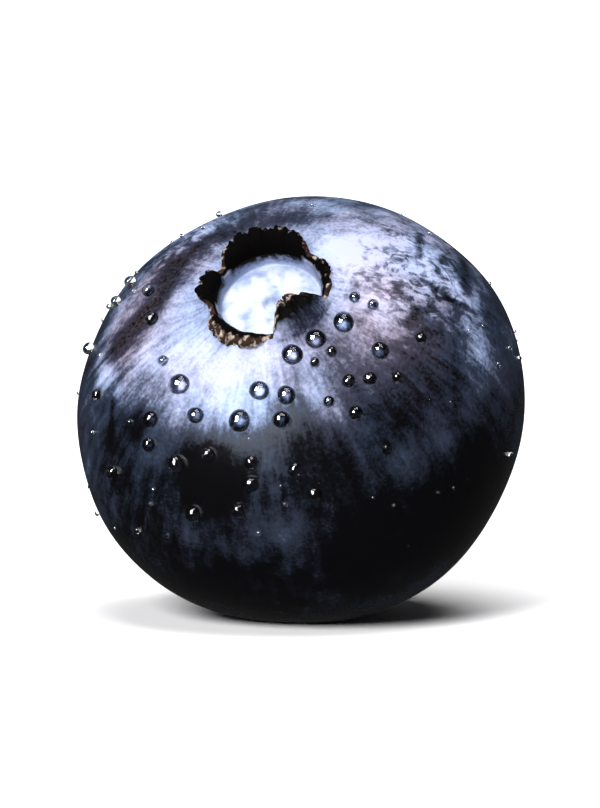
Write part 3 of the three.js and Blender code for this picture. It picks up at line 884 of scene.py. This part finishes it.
for name, gloss in GLOSS.items():
    skin.data.materials.append(skin_material(name, gloss))
stretch_of_row = np.repeat(list(STRETCHES), [len(radius) for radius, _ in STRETCHES.values()])
husk_rows = np.char.startswith(stretch_of_row[:-1], "wall")
between = under[:-1] + under[1:]
wet = (between + np.roll(between, -1, axis=1)) / 4 < 1
finish = np.where(wet, WET, np.where(husk_rows[:, None], HUSK, BLOOMY))
finish_of_face = np.append(finish, np.full(2 * COLUMNS, BLOOMY)).astype(np.int32)
skin.data.polygons.foreach_set("material_index", finish_of_face)
print((finish == HUSK).sum(), "faces of husk and", wet.sum(), "under beads")

# %% [markdown]
# Each bead is most of a ball, sunk a little into the skin and slightly uneven, and a large one is
# flatter than a small one, because its weight counts for more. Balls could be copied one by one, but
# here all beads are one array: a row of beads, each with rings from its top down to a lid under the
# skin.

# %% Shape the beads
BEAD_LEAN = 0.05  # how far its top hangs downhill
LID_ANGLE = 2.5  # radians from the top, where the ball is already under the skin
BEAD_OVAL, BEAD_THREEFOLD = 0.045, 0.02
BEAD_RISE, RISE_LOSS = 0.98, 0.12  # how high a small bead is for its width, and what the largest loses
ASIDE = np.array([0.31, 0.17, 0.93])  # any way that no bead points along


def bead_rings(beads, rows, columns, seed):
    """Rings of points on every bead. From the top, the angle down the ball runs to past the skin. The
    ball's outline is a circle with a two-fold and a three-fold wave, and it leans downhill by its height
    squared."""
    draws = np.random.default_rng(seed)
    radius = beads[:, 2, None, None, None] / 2
    point, out = seat(beads[:, 0], beads[:, 1])
    point = (lie_down(point) + LIFT)[:, None, None]
    out = (out @ ATTITUDE.T)[:, None, None]
    down = np.array([0, 0, -1.0]) + out[..., 2:] * out
    side = np.cross(out, ASIDE)
    side /= np.linalg.norm(side, axis=-1, keepdims=True)
    fore = np.cross(side, out)
    angle = np.linspace(0, LID_ANGLE, rows + 1)[None, :, None, None]
    turn = np.linspace(0, 2 * np.pi, columns, endpoint=False)[None, None, :, None]
    phase = draws.uniform(0, 2 * np.pi, (2, len(beads), 1, 1, 1))
    uneven = 1 + BEAD_OVAL * np.cos(2 * turn + phase[0]) + BEAD_THREEFOLD * np.cos(3 * turn + phase[1])
    rise = (BEAD_RISE - RISE_LOSS * radius / (LARGE_BEAD / 2)) * (np.cos(angle) + BEAD_STAND)
    lean = down * BEAD_LEAN * np.clip(rise, 0, None) ** 2
    spread = (side * np.cos(turn) + fore * np.sin(turn)) * np.sin(angle) * uneven
    rings = point + (out * rise + lean + spread) * radius
    return rings[:, 0].mean(1), rings[:, 1:], rings[:, -1].mean(1)


print("a bead's foot is", np.sqrt(1 - BEAD_STAND**2).round(2), "of its own width")

# %% Make the beads
water_beads = closed_shells("water_beads", *bead_rings(beads, rows=14, columns=28, seed=31))
water_mist = closed_shells("water_mist", *bead_rings(mist, rows=6, columns=14, seed=32))
for piece in (water_beads, water_mist):
    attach(piece, "root")

# %% [markdown]
# Clear water needs only its own numbers: no colour, no roughness, and an index of refraction of 1.33. A
# painted highlight would stay put when the viewer moves. The bright core comes from light that really
# bends through the bead. Its dark rim is painted shade: the dark ring painted into the bloom under it.

# %% Water
WATER_IOR = 1.333


def even_material(name, looks):
    """A material that is alike all over: one shader with its own numbers."""
    material, tree = new_material(name)
    add(tree, "ShaderNodeOutputMaterial", {"Surface": add(tree, "ShaderNodeBsdfPrincipled", looks)})
    return material


clear = {"Base Color": (1, 1, 1, 1), "Roughness": 0.0, "IOR": WATER_IOR, "Transmission Weight": 1.0}
water = even_material("clear_water", clear)
for piece in (water_beads, water_mist):
    piece.data.materials.append(water)
print(water.name, "bends light by", WATER_IOR)

# %% [markdown]
# The stage is a plain white card, which is all that a small fruit needs to stand out and to drop a
# shadow on. A glossy board would be livelier, but seen from this low it would mirror the dim room and
# turn grey behind the fruit, so the card has no gloss. It is kept out of the gloss of the fruit itself,
# so the underside stays as dark as bare skin looks.

# %% Table top
TABLE_HALF_SIZE, CARD_WHITE = 1.0, colour("#f8f8f9")
corners = TABLE_HALF_SIZE * np.array([(-1, -1, 0), (1, -1, 0), (1, 1, 0), (-1, 1, 0)])
table_mesh = bpy.data.meshes.new("table_top")
table_mesh.from_pydata(corners.tolist(), [], [(0, 1, 2, 3)])
table_top = bpy.data.objects.new("table_top", table_mesh)
table_top.visible_glossy = False
bpy.context.scene.collection.objects.link(table_top)
table_top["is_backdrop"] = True
card = {"Base Color": CARD_WHITE, "Roughness": 1.0, "Specular IOR Level": 0.0}
table_mesh.materials.append(even_material("white_uncoated_card", card))
print("the table is", 2 * TABLE_HALF_SIZE, "m across")

# %% [markdown]
# Three soft lights. A far one in front to the left gives the broad pale shine below the crown. A box
# high overhead lights the table evenly. A third box beside the far light falls on the water alone, and
# puts the bright spark on each bead. It doesn't shine on through the water, so the beads keep their
# dark rims. One lamp could do all three jobs badly. Here a light can be told which pieces it falls on,
# so each job has its own.

# %% Lights
MIDDLE = Vector((0, 0, 8 * MM))  # close to the middle of the fruit
# Way and distance from the fruit, size in degrees or metres, strength in watts a square metre or watts
KEY_WAY, KEY_DISTANCE, KEY_WIDTH, KEY_STRENGTH = (-0.44, -0.77, 0.5), 1.0, 26, 4.9
FILL_WAY, FILL_DISTANCE, FILL_SIZE, FILL_WATTS = (0.1, -0.2, 0.95), 1.1, 0.8, 16
SPARK_WAY, SPARK_DISTANCE, SPARK_SIZE, SPARK_WATTS = (-0.5, -0.72, 0.5), 0.6, (0.42, 0.56), 50


def hang(light, way, distance):
    """Put a light at a distance in a direction from the middle of the fruit, facing it."""
    lamp = bpy.data.objects.new(light.name, light)
    lamp.location = MIDDLE + Vector(way).normalized() * distance
    lamp.rotation_euler = (MIDDLE - lamp.location).to_track_quat("-Z", "Y").to_euler()
    bpy.context.scene.collection.objects.link(lamp)
    return lamp


key = bpy.data.lights.new("far_soft_light", "SUN")
key.energy = KEY_STRENGTH
key.angle = KEY_WIDTH * RAD
hang(key, KEY_WAY, KEY_DISTANCE)
fill = bpy.data.lights.new("overhead_soft_box", "AREA")
fill.energy = FILL_WATTS
fill.size = FILL_SIZE
hang(fill, FILL_WAY, FILL_DISTANCE)
spark = bpy.data.lights.new("catch_light", "AREA")
spark.energy = SPARK_WATTS
spark.shape = "RECTANGLE"
spark.size, spark.size_y = SPARK_SIZE
catch_light = hang(spark, SPARK_WAY, SPARK_DISTANCE)
wet_pieces = bpy.data.collections.new("pieces_with_sparks")
wet_pieces.objects.link(water_beads)
wet_pieces.objects.link(water_mist)
catch_light.light_linking.receiver_collection = wet_pieces
catch_light.visible_transmission = False

# %% [markdown]
# A room lights things from every side. A picture of a real one would do, but an even, dim room gives
# the dark skin nothing to mirror. The background that the camera sees is set by itself, as a pale
# backdrop.

# %% Room
ROOM_DIM, ROOM_PALE = 0.05, 0.95
world = bpy.data.worlds.new("pale_room")
bpy.context.scene.world = world
world.use_nodes = True
room = world.node_tree
room.nodes.clear()
seen = add(room, "ShaderNodeLightPath", out="Is Camera Ray")
strength = add(room, "ShaderNodeMapRange", {"Value": seen, "To Min": ROOM_DIM, "To Max": ROOM_PALE})
add(room, "ShaderNodeOutputWorld", {"Surface": add(room, "ShaderNodeBackground", {"Strength": strength})})
print(world.name, "shines at", ROOM_DIM, "and shows at", ROOM_PALE)

# %% [markdown]
# The camera keeps the photograph's angle, almost level with the fruit and looking a little down. A long
# lens keeps the outline close to the true one. The fruit fills the picture, because it is alone in it.

# %% Camera
PICTURE_HEIGHT = 808
BERRY_PIXELS = 455  # how wide the fruit is in the picture
CAMERA_DISTANCE = 0.32
CAMERA_ELEVATION = 6
SENSOR = 36
frame_height = 2 * RADIUS * MM / BERRY_PIXELS * PICTURE_HEIGHT
camera_data = bpy.data.cameras.new("camera")
camera_data.sensor_width = SENSOR
camera_data.lens = SENSOR * CAMERA_DISTANCE / frame_height
camera = bpy.data.objects.new("camera", camera_data)
elevation = CAMERA_ELEVATION * RAD
camera.location = MIDDLE + Vector((0, -np.cos(elevation), np.sin(elevation))) * CAMERA_DISTANCE
camera.rotation_euler = (np.pi / 2 - elevation, 0, 0)
bpy.context.scene.collection.objects.link(camera)
bpy.context.scene.camera = camera
bpy.context.scene.view_settings.view_transform = "Standard"
print("lens", round(camera_data.lens), "mm")

# %% [markdown]
# Last, the box of the solid and the box of the looks are written side by side, so that anyone can see
# that the looks keep the size, and the frame is closed.

# %% Sizes and finish
VISUAL_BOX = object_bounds()
boxes = {"cad_box": CAD_BOX, "visual_box": VISUAL_BOX}
boxes = {name: [list(corner) for corner in box] for name, box in boxes.items()}
print(boxes)
